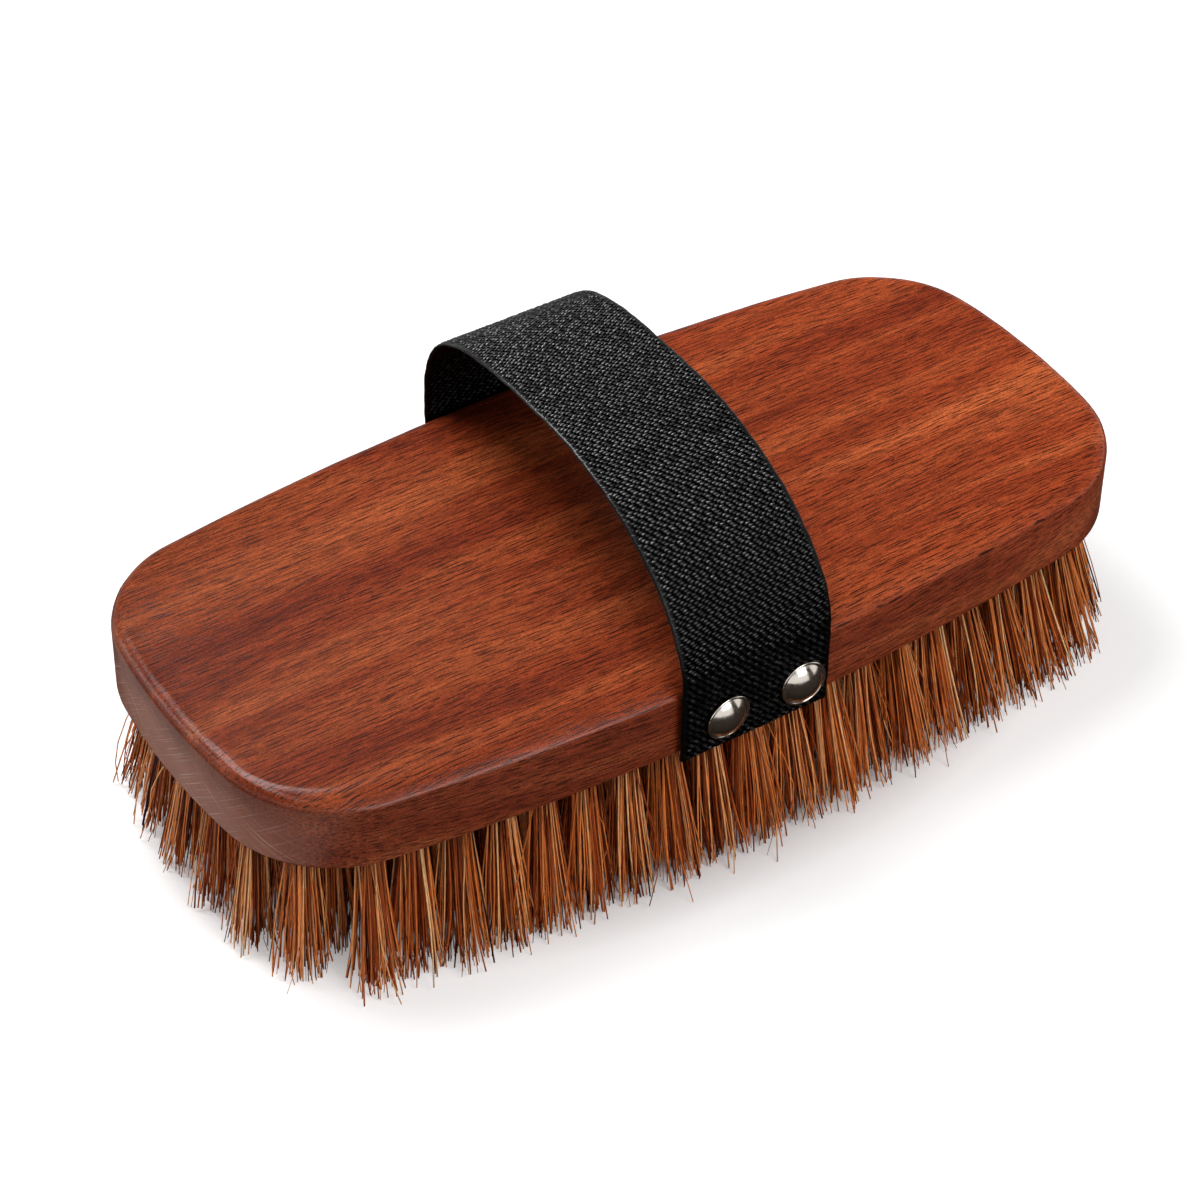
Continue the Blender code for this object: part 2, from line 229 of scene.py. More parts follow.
@dataclass(frozen=True)
class StainedBeech:
    """Beech stained reddish brown and sealed with satin varnish.

    Beech is fine and even, with short dark pores all along the grain. The stain sinks into
    them and into the soft growth bands, and the varnish adds a thin satin gloss on top. The
    real pores are about 0.1 mm wide, and are drawn two to three times as wide so that they
    show. The pairs of sizes are lengths along the grain and widths across it.
    """

    deep: str = "#782c14"
    body: str = "#8e3a1b"
    light: str = "#a9522b"
    pore: str = "#2b0b05"
    end_grain: str = "#a3614b"
    scratch: str = "#d8b8a8"
    sway: tuple[float, float] = (90 * MM, 30 * MM)
    sway_depth: float = 8 * MM
    band: tuple[float, float] = (130 * MM, 9 * MM)
    streak: tuple[float, float] = (12 * MM, 0.5 * MM)
    dust: tuple[float, float] = (0.39 * MM, 0.26 * MM)
    contrast: tuple[float, float] = (0.7, 1.3)
    pore_kinds: tuple[PoreKind, ...] = (
        PoreKind(7.2 * MM, 1.1 * MM, 6.2 * MM, 0.27 * MM, 0.95),
        PoreKind(5.2 * MM, 1.0 * MM, 3.8 * MM, 0.22 * MM, 0.8),
    )
    reach: float = 102 * MM
    # Painted light: the wood's colour is scaled from the first value at the -X end to the second at the
    # +X end.
    painted_light_ends: tuple[float, float] = (0.82, 1.5)
    # Painted shade: faces that look sideways are painted darker by this factor.
    painted_side_shade: float = 0.64
    # Painted reflection: the grey of the end faces is faint at the upper height and full at the lower
    # one.
    painted_reflection_top: float = 44.5 * MM
    painted_reflection_bottom: float = 39 * MM
    scratch_size: Place = (20 * MM, 20 * MM, 0.17 * MM)
    scratch_leans: tuple[float, float] = (0.7, -0.55)
    roughness: float = 0.5
    wood_gloss: float = 0.06
    varnish: float = 0.55
    varnish_roughness: float = 0.24

    def cells(self, tree: Tree, place: Source, length: float, width: float) -> Node:
        """Stretch the wood's coordinates into cells of one length and width.

        Args:
            tree: The material's tree.
            place: The coordinates in metres.
            length: The cell's length along the grain.
            width: Its width across the grain.

        Returns:
            The node with the stretched coordinates.
        """
        scale = (1 / length, 1 / width, 1 / width)
        return add_node(tree, "Mapping", {"Vector": place, "Scale": scale})

    def figure(
        self,
        tree: Tree,
        place: Source,
        size: tuple[float, float],
        detail: float,
        levels: tuple[float, float],
    ) -> Node:
        """Draw noise along the grain, spread between two levels.

        Args:
            tree: The material's tree.
            place: The coordinates in metres.
            size: The length and width of its cells.
            detail: How many finer layers the noise has.
            levels: The level of its darker parts and that of its lighter ones.

        Returns:
            The node with the level.
        """
        cells = self.cells(tree, place, *size)
        raw = add_node(tree, "TexNoise", {"Vector": cells, "Scale": 1.0, "Detail": detail})
        return add_node(tree, "MapRange", (raw, 0.32, 0.68, *levels))

    def make(self) -> Material:
        """Return the finished material."""
        material, tree = new_material("stained_beech")
        place = add_node(tree, "TexCoord").outputs["Object"]
        slow = add_node(
            tree, "TexNoise", {"Vector": self.cells(tree, place, *self.sway), "Scale": 1.0}
        ).outputs["Color"]
        reach = (0.0, self.sway_depth, self.sway_depth)
        sway = add_node(tree, "VectorMath", (slow, reach), operation="MULTIPLY")
        swayed = add_node(tree, "VectorMath", (place, sway), operation="ADD")
        bands = self.figure(tree, swayed, self.band, 3.0, (0.0, 1.0))
        stops = ((0.0, self.deep), (0.45, self.body), (1.0, self.light))
        tone = add_node(tree, "ValToRGB", (bands,), stops)
        streaks = self.figure(tree, swayed, self.streak, 2.0, self.contrast)
        dust = self.figure(tree, place, self.dust, 1.0, self.contrast)
        grain = add_node(tree, "Math", (streaks, dust), operation="MULTIPLY")
        along = add_node(tree, "SeparateXYZ", (place,)).outputs["X"]
        # Painted light: the colour is painted lighter towards the +X end.
        stain = add_node(tree, "MapRange", (along, -self.reach, self.reach, *self.painted_light_ends))
        shade = add_node(tree, "Math", (grain, stain), operation="MULTIPLY")
        normal = add_node(tree, "NewGeometry").outputs["Normal"]
        facing = add_node(tree, "SeparateXYZ", (normal,)).outputs
        # Painted shade: the sides are painted darker than the top.
        sides = add_node(tree, "MapRange", (facing["Z"], 0.0, 0.9, self.painted_side_shade, 1.0))
        shade = add_node(tree, "Math", (shade, sides), operation="MULTIPLY")
        toned = add_node(tree, "VectorMath", {0: tone, "Scale": shade}, operation="SCALE")
        pores = self.pores(tree, swayed, normal)
        pored = add_node(tree, "Mix", {0: pores, 6: toned, 7: linear(self.pore)}, data_type="RGBA")
        raised = add_node(tree, "Math", (grain, pores), operation="SUBTRACT")
        bump = add_node(tree, "Bump", {"Height": raised, "Strength": 0.6, "Distance": 0.02 * MM})
        shader = add_node(
            tree,
            "BsdfPrincipled",
            {
                "Base Color": self.end_faces(tree, place, facing, pored.outputs[2]),
                "Roughness": self.roughness,
                "IOR": 1.5,
                "Specular IOR Level": self.wood_gloss,
                "Coat Weight": self.varnish,
                "Coat Roughness": self.varnish_roughness,
                "Normal": bump,
                "Coat Normal": bump,
            },
        )
        add_node(tree, "OutputMaterial", {"Surface": shader})
        return material

    def end_faces(
        self, tree: Tree, place: Socket, facing: bpy.types.NodeOutputs, colour: Socket
    ) -> Socket:
        """Grey the two end faces, where end grain drinks the stain and sanding marks show. The grey is
        faint under the rim and full lower down, a painted reflection haze.

        Args:
            tree: The material's tree.
            place: The plain coordinates in metres.
            facing: The sockets with the surface's direction along each axis.
            colour: The colour of the long grain.

        Returns:
            The socket with the colour of the whole block.
        """
        endward = add_node(tree, "Math", (facing["X"], facing["X"]), operation="MULTIPLY")
        upward = add_node(tree, "Math", (facing["Z"], facing["Z"]), operation="MULTIPLY")
        endwise = add_node(tree, "Math", (upward, -4.0, endward), operation="MULTIPLY_ADD")
        share = add_node(tree, "MapRange", (endwise, 0.3, 0.97, 0.0, 0.6))
        height = add_node(tree, "SeparateXYZ", (place,)).outputs["Z"]
        # Painted reflection: the grey share grows from the rim down the end face.
        painted_light_share = add_node(tree, "MapRange", (height, self.painted_reflection_top, self.painted_reflection_bottom, 0.15, 1.0))
        share = add_node(tree, "Math", (share, painted_light_share), operation="MULTIPLY")
        grey = {0: share, 6: colour, 7: linear(self.end_grain)}
        marks = add_node(tree, "Mix", grey, data_type="RGBA").outputs[2]
        scale = tuple(1 / size for size in self.scratch_size)
        for lean in self.scratch_leans:
            turned = add_node(tree, "Mapping", {"Vector": place, "Rotation": (lean, 0.0, 0.0)})
            cells = add_node(tree, "Mapping", {"Vector": turned, "Scale": scale})
            lines = add_node(tree, "TexNoise", {"Vector": cells, "Scale": 1.0, "Detail": 1.0})
            line = add_node(tree, "MapRange", (lines, 0.62, 0.7, 0.0, 0.7))
            shown = add_node(tree, "Math", (line, share), operation="MULTIPLY")
            pale = {0: shown, 6: marks, 7: linear(self.scratch)}
            marks = add_node(tree, "Mix", pale, data_type="RGBA").outputs[2]
        return marks

    def pores(self, tree: Tree, swayed: Source, normal: Socket) -> Source:
        """Draw the dark pores: dashes along the grain, and dots where it is cut across.

        Each pore is an ellipse round the middle of a cell, measured within the surface.

        Args:
            tree: The material's tree.
            swayed: The coordinates that follow the grain.
            normal: The direction that the surface faces.

        Returns:
            The node that is near one inside a pore and zero outside.
        """
        deepest = 0.0
        for kind in self.pore_kinds:
            cells = self.cells(tree, swayed, kind.room_length, kind.room_width)
            rooms = add_node(tree, "TexVoronoi", {"Vector": cells, "Scale": 1.0, "Randomness": 0.9})
            away = add_node(tree, "VectorMath", (cells, rooms.outputs["Position"]), operation="SUBTRACT")
            across = 2 * kind.room_width / kind.width
            spans = (2 * kind.room_length / kind.length, across, across)
            sized = add_node(tree, "VectorMath", (away, spans), operation="MULTIPLY")
            sunk = add_node(tree, "VectorMath", (sized, normal), operation="PROJECT")
            level = add_node(tree, "VectorMath", (sized, sunk), operation="SUBTRACT")
            reach = add_node(tree, "VectorMath", (level,), operation="LENGTH").outputs["Value"]
            inside = add_node(tree, "MapRange", (reach, 1.0, 0.55, 0.0, kind.depth))
            deepest = add_node(tree, "Math", (inside, deepest), operation="MAXIMUM")
        return deepest


@dataclass(frozen=True)
class WovenElastic:
    """Black elastic webbing, woven from textured polyester over rubber threads.

    The yarn is close to black. The crowns of its loops are smooth bundles of filaments that give small
    glints. The colour is painted pale on the crowns and near black in the gaps between them, painted
    highlight and painted shade, and the crowns that face upward get a painted glint, lighter and
    glossier.
    """

    # Painted shade: the gaps between the crowns are painted near black.
    gap: str = "#020202"
    yarn: str = "#0d0d0d"
    # Painted highlight: the crowns are painted pale grey.
    crown: str = "#78787a"
    filament_width: float = 0.12 * MM
    roughness: float = 0.31
    # Painted glint: crowns are painted lighter and glossier as the normal turns up from the first facing
    # to the second; below it they keep the least share.
    painted_glint_start: float = 0.76
    painted_glint_full: float = 0.96
    painted_glint_least: float = 0.22
    gloss: float = 4.0

    def make(self) -> Material:
        """Return the finished material."""
        material, tree = new_material("black_woven_elastic")
        place = add_node(tree, "TexCoord").outputs["Object"]
        scale = 1 / (2 * self.filament_width)
        filaments = add_node(tree, "TexNoise", {"Vector": place, "Scale": scale, "Detail": 2.0})
        crown = add_node(tree, "Attribute", attribute_name="crown").outputs["Fac"]
        normal = add_node(tree, "NewGeometry").outputs["Normal"]
        # Painted glint: the crowns that face upward get a lighter colour and a stronger gloss.
        upward = add_node(tree, "SeparateXYZ", (normal,)).outputs["Z"]
        limits = (self.painted_glint_start, self.painted_glint_full, self.painted_glint_least, 1.0)
        painted_light_share = add_node(tree, "MapRange", (upward, *limits))
        painted_glint = add_node(tree, "Math", (crown, painted_light_share), operation="MULTIPLY")
        # Painted shade in the gaps and painted highlight on the crowns, with the filaments' own texture.
        worn = add_node(tree, "Math", (painted_glint, filaments), operation="MULTIPLY")
        stops = ((0.0, self.gap), (0.2, self.yarn), (0.5, self.crown))
        tone = add_node(tree, "ValToRGB", (worn,), stops)
        bump = add_node(
            tree, "Bump", {"Height": filaments, "Strength": 0.7, "Distance": 0.08 * MM}
        )
        shader = add_node(
            tree,
            "BsdfPrincipled",
            {
                "Base Color": tone,
                "Roughness": self.roughness,
                "IOR": 1.5,
                "Specular IOR Level": add_node(tree, "MapRange", (painted_glint, 0.0, 1.0, 0.0, self.gloss)),
                "Normal": bump,
            },
        )
        add_node(tree, "OutputMaterial", {"Surface": shader})
        return material


@dataclass(frozen=True)
class NickelPlate:
    """Steel nails, pressed and plated with bright nickel.

    Nickel is a warm pale metal. Tumbling leaves it bright, with a slight haze and fine dents.
    """

    metal: str = "#dcd3c8"
    roughness: tuple[float, float] = (0.13, 0.24)
    dent_size: float = 0.9 * MM

    def make(self) -> Material:
        """Return the finished material."""
        material, tree = new_material("nickel_plated_steel")
        place = add_node(tree, "TexCoord").outputs["Object"]
        dents = add_node(
            tree, "TexNoise", {"Vector": place, "Scale": 1 / self.dent_size, "Detail": 3.0}
        )
        bump = add_node(tree, "Bump", {"Height": dents, "Strength": 0.12, "Distance": 0.05 * MM})
        shader = add_node(
            tree,
            "BsdfPrincipled",
            {
                "Base Color": linear(self.metal),
                "Metallic": 1.0,
                "Roughness": add_node(tree, "MapRange", (dents, 0.3, 0.7, *self.roughness)),
                "Normal": bump,
            },
        )
        add_node(tree, "OutputMaterial", {"Surface": shader})
        return material


@dataclass(frozen=True)
class Coir:
    """Coconut fibre, combed from the husk and cut to length.

    Each fibre has its own shade, from straw to burnt brown, with a waxy half-gloss. The chart
    coordinates hold the shade across and the place along the fibre upward, from its root at the bottom.
    Each fibre is painted darker towards its root, a painted shade.
    """

    burnt: str = "#1c0500"
    brown: str = "#a03e0e"
    tan: str = "#f88c3e"
    straw: str = "#ffd094"
    fleck_pitches: Place = (300.0, 20.0, 1.0)
    roughness: float = 0.42
    wax: float = 0.3

    def make(self) -> Material:
        """Return the finished material."""
        material, tree = new_material("coir_fibre")
        chart = add_node(tree, "UVMap", uv_map="OFBake")
        axes = add_node(tree, "SeparateXYZ", (chart,)).outputs
        stops = ((0.0, self.burnt), (0.25, self.brown), (0.6, self.tan), (1.0, self.straw))
        shade = add_node(tree, "ValToRGB", (axes["X"],), stops)
        stretched = add_node(tree, "Mapping", {"Vector": chart, "Scale": self.fleck_pitches})
        flecks = add_node(tree, "TexNoise", {"Vector": stretched, "Scale": 1.0, "Detail": 2.0})
        mottle = add_node(tree, "MapRange", (flecks, 0.3, 0.7, 0.7, 1.25))
        # Painted shade: each fibre is painted darker towards its root.
        along = add_node(tree, "MapRange", (axes["Y"], 0.1, 0.45, 0.5, 1.0))
        mottle_and_painted_root_shade = add_node(tree, "Math", (mottle, along), operation="MULTIPLY")
        colour = add_node(tree, "VectorMath", {0: shade, "Scale": mottle_and_painted_root_shade}, operation="SCALE")
        shader = add_node(
            tree,
            "BsdfPrincipled",
            {
                "Base Color": colour,
                "Roughness": self.roughness,
                "IOR": 1.5,
                "Specular IOR Level": self.wax,
            },
        )
        add_node(tree, "OutputMaterial", {"Surface": shader})
        return material


@dataclass(frozen=True)
class BlockOutline:
    """The block's outline as tangent arcs: bowed ends, round corners and bowed sides."""

    length: float = 205 * MM
    width: float = 95 * MM
    side_radius: float = 583 * MM
    end_radius: float = 156 * MM
    corner_radius: float = 25.8 * MM

    def centres(self) -> tuple[np.ndarray, np.ndarray, np.ndarray]:
        """Return the centres of the side, end and corner arcs in the first quarter."""
        side = np.array([0.0, self.width / 2 - self.side_radius])
        end = np.array([self.length / 2 - self.end_radius, 0.0])
        side_reach = self.side_radius - self.corner_radius
        end_reach = self.end_radius - self.corner_radius
        span = float(np.hypot(*(end - side)))
        along = (span**2 + side_reach**2 - end_reach**2) / (2 * span)
        across = math.sqrt(side_reach**2 - along**2)
        direction = (end - side) / span
        corner = side + direction * along + np.array([direction[1], -direction[0]]) * across
        return side, end, corner

    def angles(self) -> tuple[float, float]:
        """Return the angles at which the corner arc meets the end and side arcs."""
        side, end, corner = self.centres()
        to_end = corner - end
        to_side = corner - side
        return math.atan2(to_end[1], to_end[0]), math.atan2(to_side[1], to_side[0])

    def loop(self, inset: float, steps: tuple[int, int, int] = (10, 22, 20)) -> np.ndarray:
        """Trace the whole outline.

        Args:
            inset: How far inside the edge the line runs.
            steps: The spans on half an end, a corner and half a side.

        Returns:
            Points anticlockwise from the middle of the +X end.
        """
        side, end, corner = self.centres()
        end_angle, side_angle = self.angles()
        runs = (
            (end, self.end_radius, 0.0, end_angle, steps[0]),
            (corner, self.corner_radius, end_angle, side_angle, steps[1]),
            (side, self.side_radius, side_angle, math.pi / 2, steps[2]),
        )
        quarter = []
        for centre, radius, start, stop, count in runs:
            turns = np.linspace(start, stop, count + 1)[1 if quarter else 0 :]
            quarter.append(centre + (radius - inset) * np.stack([np.cos(turns), np.sin(turns)], 1))
        first = np.concatenate(quarter)
        upper = np.concatenate([first, first[-2::-1] * (-1, 1)])
        return np.concatenate([upper, upper[-2:0:-1] * (1, -1)])

    def half_width_at(self, x: float, inset: float) -> float:
        """Measure the outline across the block.

        Args:
            x: The place along the block.
            inset: How far inside the edge the line runs.

        Returns:
            The outline's Y there.
        """
        side, end, corner = self.centres()
        end_angle, side_angle = self.angles()
        if x <= (self.side_radius - inset) * math.cos(side_angle):
            return side[1] + math.sqrt((self.side_radius - inset) ** 2 - x**2)
        if x <= end[0] + (self.end_radius - inset) * math.cos(end_angle):
            return corner[1] + math.sqrt((self.corner_radius - inset) ** 2 - (x - corner[0]) ** 2)
        return math.sqrt((self.end_radius - inset) ** 2 - (x - end[0]) ** 2)

    def half_length_at(self, y: float, inset: float) -> float:
        """Measure the outline along the block, on its end or corner.

        Args:
            y: The place across the block.
            inset: How far inside the edge the line runs.

        Returns:
            The outline's X there.
        """
        _, end, corner = self.centres()
        end_angle, _ = self.angles()
        if y <= (self.end_radius - inset) * math.sin(end_angle):
            return end[0] + math.sqrt((self.end_radius - inset) ** 2 - y**2)
        return corner[0] + math.sqrt((self.corner_radius - inset) ** 2 - (y - corner[1]) ** 2)


@dataclass
class TuftLayout:
    """Where the tufts stand: rows across the block, the outer ones bowed like its ends."""

    outline: BlockOutline
    rows: int = 21
    end_row: int = 6
    long_row: int = 8
    short_row: int = 7
    side_inset: float = 6.5 * MM
    end_inset: float = 9.3 * MM
    end_reach_share: float = 0.64
    bow_power: float = 1.5

    def row(self, index: int) -> np.ndarray:
        """Place one row's tufts.

        Args:
            index: The row's number from the -X end, from zero.

        Returns:
            The centre of each tuft.
        """
        share = 2 * index / (self.rows - 1) - 1
        half_length = self.outline.length / 2 - self.end_inset
        end_reach = self.end_reach_share * (self.outline.width / 2 - self.side_inset)

        def x_at(y: float) -> float:
            """Return how far out the row stands at a place across the block."""
            bow = half_length - self.outline.half_length_at(min(abs(y), end_reach), self.end_inset)
            return abs(share) * half_length - abs(share) ** self.bow_power * bow

        reach, count = end_reach, self.end_row
        if index not in (0, self.rows - 1):
            reach = self.outline.half_width_at(x_at(end_reach), self.side_inset)
            count = self.short_row if index % 2 else self.long_row
        across = np.linspace(-reach, reach, count)
        return np.array([(math.copysign(1.0, share) * x_at(y), y) for y in across])


@dataclass(frozen=True)
class Rim:
    """One rounding of the top rim: a gentle fall, a crisper edge and a turn into the side."""

    crown_width: float
    crown_drop: float
    edge_width: float
    edge_radii: tuple[float, float]
    edge_turn: float = math.radians(65)

    def section(self, top: float, steps: int) -> np.ndarray:
        """Trace the rounding from the top face to the side.

        Args:
            top: The height of the top face.
            steps: The points on the fall, and half as many on each turn.

        Returns:
            Rows of inset and height.
        """
        fall = self.crown_width - self.edge_width
        rim = [
            (self.crown_width - share * fall, top - self.crown_drop * share**2)
            for share in np.linspace(0, 1, steps)
        ]
        turn = math.atan(2 * self.crown_drop / fall)
        for radius, stop in zip(self.edge_radii, (self.edge_turn, math.pi / 2)):
            inset, height = rim[-1]
            rim += [
                (
                    inset - radius * (math.sin(t) - math.sin(turn)),
                    height - radius * (math.cos(turn) - math.cos(t)),
                )
                for t in np.linspace(turn, stop, steps // 2)[1:]
            ]
            turn = stop
        return np.array(rim)


@dataclass
class Block:
    """The wooden block: one board with a rounded top rim and drilled tuft holes below.

    The rim is a plain round at the back and at both ends. Sanding has taken more off it
    along the front, where it falls away gently to a crisper edge.
    """

    outline: BlockOutline
    layout: TuftLayout
    bottom: float = 31 * MM
    thickness: float = 17 * MM
    front_rim: Rim = Rim(6.5 * MM, 2.2 * MM, 0.427 * MM, (1.1 * MM, 0.8 * MM))
    back_rim: Rim = Rim(2.8 * MM, 0.05 * MM, 2.1 * MM, (2.45 * MM, 2.45 * MM))
    sanded_power: float = 3.0
    bottom_round: float = 1.0 * MM
    bottom_steps: int = 6
    hand_sanding: float = 0.12 * MM
    sanding_waves: int = 5
    sanding_fall: float = 0.7
    hole_radius: float = 3.0 * MM
    hole_depth: float = 4.4 * MM
    hole_sides: int = 16
    round_steps: int = 10
    seed: int = 11

    def section(self, rim: Rim) -> np.ndarray:
        """Trace the edge from the top face to the bottom.

        Args:
            rim: The rounding at the top.

        Returns:
            Rows of inset and height.
        """
        turns = np.linspace(0, math.pi / 2, self.bottom_steps)
        insets = self.bottom_round * (1 - np.cos(turns))
        heights = self.bottom + self.bottom_round * (1 - np.sin(turns))
        upper = rim.section(self.bottom + self.thickness, self.round_steps)
        return np.concatenate([upper, np.column_stack([insets, heights])])

    def build(self, finish: Material) -> Piece:
        """Make the block.

        Args:
            finish: The wood.

        Returns:
            The block in place.
        """
        rng = np.random.default_rng(self.seed)
        edge = self.outline.loop(0.0)
        outward = unit_rows(edge - self.outline.loop(MM))
        sanded = np.clip(-outward[:, 1], 0, 1) ** self.sanded_power
        rings = []
        for worn, plain in zip(self.section(self.front_rim), self.section(self.back_rim)):
            inset, height = (sanded * w + (1 - sanded) * p for w, p in zip(worn, plain))
            rings.append(np.column_stack([edge - outward * inset[:, None], height]))
        count = len(edge)
        places = np.linspace(0, self.sanding_waves, count, endpoint=False)
        wobble = np.abs(smooth_noise(places, rng) * self.hand_sanding)
        rim_rings = 2 * self.round_steps - 2
        for step, ring in enumerate(rings[:rim_rings]):
            lean = math.sin(math.pi * step / rim_rings)
            ring[:, :2] -= outward * (wobble * lean)[:, None]
            ring[:, 2] -= wobble * lean * self.sanding_fall
        faces = bridge(len(rings), count, closed=True)[:, ::-1].tolist()
        faces.append(list(range(count)))
        block = mesh_object("block_body", np.concatenate(rings), faces, finish, Shading.FLAT)
        self.add_underside(block.data, (len(rings) - 1) * count, count)
        block.data.shade_smooth()
        block.data.set_sharp_from_angle(angle=CREASE_ANGLE)
        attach(block, "root")
        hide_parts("block")
        return block

    def add_underside(self, mesh: bpy.types.Mesh, start: int, count: int) -> None:
        """Close the underside around its drilled holes.

        Args:
            mesh: The block's mesh, open below.
            start: The number of the first corner of its lowest ring.
            count: How many corners that ring has.
        """
        shape = bmesh.new()
        shape.from_mesh(mesh)
        shape.verts.ensure_lookup_table()
        rim = [shape.verts[start + place] for place in range(count)]
        edges = [shape.edges.get((a, b)) for a, b in zip(rim, rim[1:] + rim[:1])]
        turns = np.linspace(0, math.tau, self.hole_sides, endpoint=False)
        for centre in np.concatenate([self.layout.row(index) for index in range(self.layout.rows)]):
            circle = centre + self.hole_radius * np.stack([np.cos(turns), np.sin(turns)], 1)
            mouth = [shape.verts.new((x, y, self.bottom)) for x, y in circle]
            floor = [shape.verts.new((x, y, self.bottom + self.hole_depth)) for x, y in circle]
            for a, b, c, d in zip(mouth, mouth[1:] + mouth[:1], floor[1:] + floor[:1], floor):
                shape.faces.new((a, b, c, d))
            shape.faces.new(floor)
            edges += [shape.edges.get((a, b)) for a, b in zip(mouth, mouth[1:] + mouth[:1])]
        bmesh.ops.triangle_fill(
            shape, use_beauty=True, use_dissolve=False, edges=edges, normal=(0.0, 0.0, -1.0)
        )
        bmesh.ops.recalc_face_normals(shape, faces=shape.faces)
        shape.to_mesh(mesh)
        shape.free()


